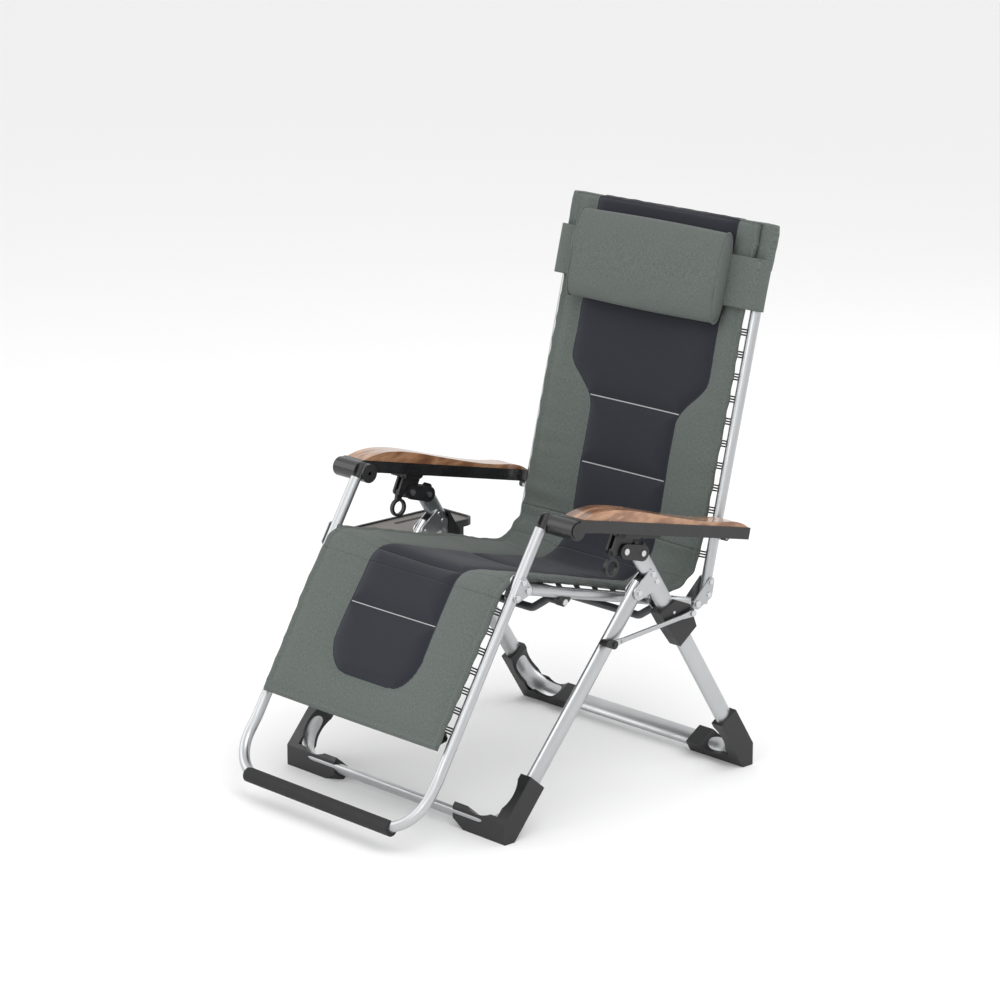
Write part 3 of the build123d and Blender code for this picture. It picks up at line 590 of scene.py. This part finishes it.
# ---------------------------------------------------------------- pillow and its band
PILLOW_UP, PILLOW_HALF, PILLOW_TALL = 0.650, 0.212, 0.094
PILLOW_NEAR, PILLOW_DEEP = 0.029, 0.039
PILLOW_FRONT = PILLOW_NEAR + PILLOW_DEEP / 2    # its middle, in front of the tube
UP_POWER, DEEP_POWER = 0.72, 0.80       # below 1 makes its section squarer than an ellipse


def pillow():
    """Crowned cushion with flat sewn ends."""
    rows, columns = 90, 72
    points, uvs = [], []
    for row in range(rows + 1):
        u = -1 + 2 * row / rows
        edge = min(1.0, (1 - abs(u)) * PILLOW_HALF / 0.010)
        swell = math.sqrt(max(0.0, 1 - (1 - edge) ** 2))
        size = (0.80 + 0.20 * swell) * (0.97 + 0.03 * math.cos(u * math.pi / 2))
        for column in range(columns):
            a = 2 * math.pi * column / columns
            c, s = math.cos(a), math.sin(a)
            up = signed_power(c, UP_POWER) * PILLOW_TALL * size
            deep = signed_power(s, DEEP_POWER) * PILLOW_DEEP / 2 * size
            soft = noise.noise(Vector((u * 4, c * 2, s * 2))) * 0.0022
            front = PILLOW_FRONT + deep + soft * max(0, s)
            points.append(tuple(back_plane(u * PILLOW_HALF, PILLOW_UP + up, front)))
            uvs.append((u * PILLOW_HALF, a * 0.075))
    faces = ring_faces(rows + 1, columns)
    for row, turn in ((0, 1), (rows, -1)):
        ring = [row * columns + i for i in range(columns)][::turn]
        apex = len(points)
        end_x = points[row * columns][0]
        crown_x = end_x + math.copysign(0.004, end_x)
        points.append(tuple(back_plane(crown_x, PILLOW_UP, PILLOW_FRONT)))
        uvs.append((0, 0))
        faces += [(ring[(i + 1) % columns], ring[i], apex) for i in range(columns)]
    return mesh_object("pillow_cushion", points, faces, PLAIN_CLOTH, uvs)


cushion = pillow()
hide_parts("pillow")
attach(cushion, "pillow")


def piping(x):
    """Sewn cord round one end of the pillow."""
    count, sides, radius, inset = 90, 8, 0.0018, 0.965
    points, uvs = [], []
    for i in range(count):
        a = 2 * math.pi * i / count
        c, s = math.cos(a), math.sin(a)
        up = signed_power(c, UP_POWER) * PILLOW_TALL * inset
        deep = signed_power(s, DEEP_POWER) * PILLOW_DEEP / 2 * inset
        for j in range(sides):
            b = 2 * math.pi * j / sides
            swell = radius * math.cos(b)
            points.append(tuple(back_plane(x + radius * math.sin(b), PILLOW_UP + up * (1 + swell / 0.05),
                                           PILLOW_FRONT + deep * (1 + swell / 0.03))))
            uvs.append((i * 0.005, b * radius))
    name = "pillow_piping_" + ("left" if x > 0 else "right")
    cord = mesh_object(name, points, ring_faces(count, sides, True), PLAIN_CLOTH, uvs)
    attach(cord, "pillow")


piping(PILLOW_HALF - 0.006)
piping(-PILLOW_HALF + 0.006)


def pillow_strap():
    """Wide band round the back frame that carries the pillow."""
    count, rows, half = 160, 24, 0.052
    wide, near, far = 0.2842, 0.0360, -0.0160
    centre, deep = (near + far) / 2, (near - far) / 2
    points, uvs = [], []
    for row in range(rows + 1):
        up = -half + 2 * half * row / rows
        for i in range(count):
            a = 2 * math.pi * i / count
            x = signed_power(math.cos(a), 0.22) * wide
            front = centre + signed_power(math.sin(a), 0.30) * deep
            ripple = 0.0008 * noise.noise(Vector((x * 30, up * 20, front * 60)))
            points.append(tuple(back_plane(x, PILLOW_UP + up, front + ripple)))
            uvs.append((x + front, up))
    band = mesh_object("pillow_strap", points, ring_faces(rows + 1, count), PLAIN_CLOTH, uvs)
    thick = band.modifiers.new("cloth", "SOLIDIFY")
    thick.thickness = 0.0016
    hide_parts("pillow_band")
    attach(band, "pillow")


pillow_strap()


# ---------------------------------------------------------------- elastic lacing
LACE_START = 0.246          # where a lace leaves the cloth, across the chair


def lace_bundle(points, faces, uvs, centre, direction, side):
    """Three elastic strands from under the cloth's edge to the inner side of the tube."""
    sides, radius, steps, wrap = 6, 0.0016, 10, 0.0125
    along = Vector((0, *direction))
    out = Vector((side, 0, 0))
    front = Vector((0, -direction[1], direction[0]))
    for strand in range(3):
        middle = centre + along * (strand - 1) * 0.0055
        base = len(points)
        edge = Vector((side * LACE_START, middle.y, middle.z))
        path = [edge + front * 0.0155, edge + front * 0.0135 + out * 0.004]
        for i in range(steps):
            a = math.radians(150 + 70 * i / (steps - 1))
            path.append(middle + out * math.cos(a) * wrap + front * math.sin(a) * wrap)
        for i, place in enumerate(path):
            ahead = path[min(i + 1, len(path) - 1)] - path[max(i - 1, 0)]
            ahead.normalize()
            across = along.cross(ahead).normalized()
            for j in range(sides):
                b = 2 * math.pi * j / sides
                points.append(tuple(place + along * math.cos(b) * radius + across * math.sin(b) * radius))
                uvs.append((i * 0.002, b * radius))
        for face in ring_faces(len(path), sides):
            faces.append(tuple(base + k for k in face))
        faces.append(tuple(base + k for k in reversed(range(sides))))
        faces.append(tuple(base + (len(path) - 1) * sides + k for k in range(sides)))


def lacing(name, start, direction, length, count, body, node):
    """Lace bundles down both sides of one part of the panel."""
    points, faces, uvs = [], [], []
    for number in range(count):
        y, z = moved(start, direction, length * (number + 0.5) / count)
        for side in (-1, 1):
            lace_bundle(points, faces, uvs, Vector((side * RAIL_X, y, z)), direction, side)
    laces = mesh_object(name, points, faces, ELASTIC, uvs)
    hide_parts(node)
    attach(laces, body)


lacing("calf_laces", moved(CALF_BEND, CALF_UP, 0.075), CALF_UP, 0.285, 7, "legrest", "legrest_lacing")
lacing("seat_laces", moved(KNEE, SEAT_BACK, 0.035), SEAT_BACK, 0.405, 8, "seat", "seat_lacing")
lacing("back_laces", moved(BACK_BOTTOM, BACK_UP, 0.075), BACK_UP, 0.50, 11, "back", "back_lacing")


# ---------------------------------------------------------------- floor, lights and camera
def floor():
    """Pale ground under the chair."""
    size = 60.0
    corners = [(-size, -size, 0), (size, -size, 0), (size, size, 0), (-size, size, 0)]
    material, _, _ = shader("floor", (0.86, 0.86, 0.86), 0.75)
    plane = mesh_object("floor", corners, [(0, 1, 2, 3)], material, smooth=False)


def area_light(name, place, target, size, power):
    """Rectangular light aimed at a target."""
    data = bpy.data.lights.new(name, "AREA")
    data.shape = "RECTANGLE"
    data.size, data.size_y = size
    data.energy = power
    lamp = bpy.data.objects.new(name, data)
    lamp.location = place
    lamp.rotation_euler = (Vector(target) - Vector(place)).to_track_quat("-Z", "Y").to_euler()
    bpy.context.scene.collection.objects.link(lamp)


floor()
area_light("key", (2.6, -1.2, 3.4), (0, 0, 0.5), (2.4, 2.4), 62)
area_light("fill", (-3.2, -2.6, 2.4), (0, 0, 0.5), (3.0, 3.0), 38)
area_light("front", (1.0, -4.6, 2.2), (0, 0, 0.5), (3.0, 2.0), 36)
area_light("rear", (0.5, 3.6, 3.0), (0, 0, 0.6), (3.0, 2.0), 36)
world = bpy.data.worlds.new("studio")
world.use_nodes = True
world.node_tree.nodes["Background"].inputs["Color"].default_value = (1, 1, 1, 1)
world.node_tree.nodes["Background"].inputs["Strength"].default_value = 1.0
bpy.context.scene.world = world
bpy.context.scene.view_settings.view_transform = "Standard"

camera_data = bpy.data.cameras.new("camera")
camera_data.lens = 123.5
camera_data.sensor_width = 36
camera_data.clip_end = 200
camera = bpy.data.objects.new("camera", camera_data)
camera.location = (4.842, -4.613, 2.317)
camera.rotation_euler = (math.radians(90 - 14.76), 0, math.radians(46.92))
bpy.context.scene.collection.objects.link(camera)
bpy.context.scene.camera = camera
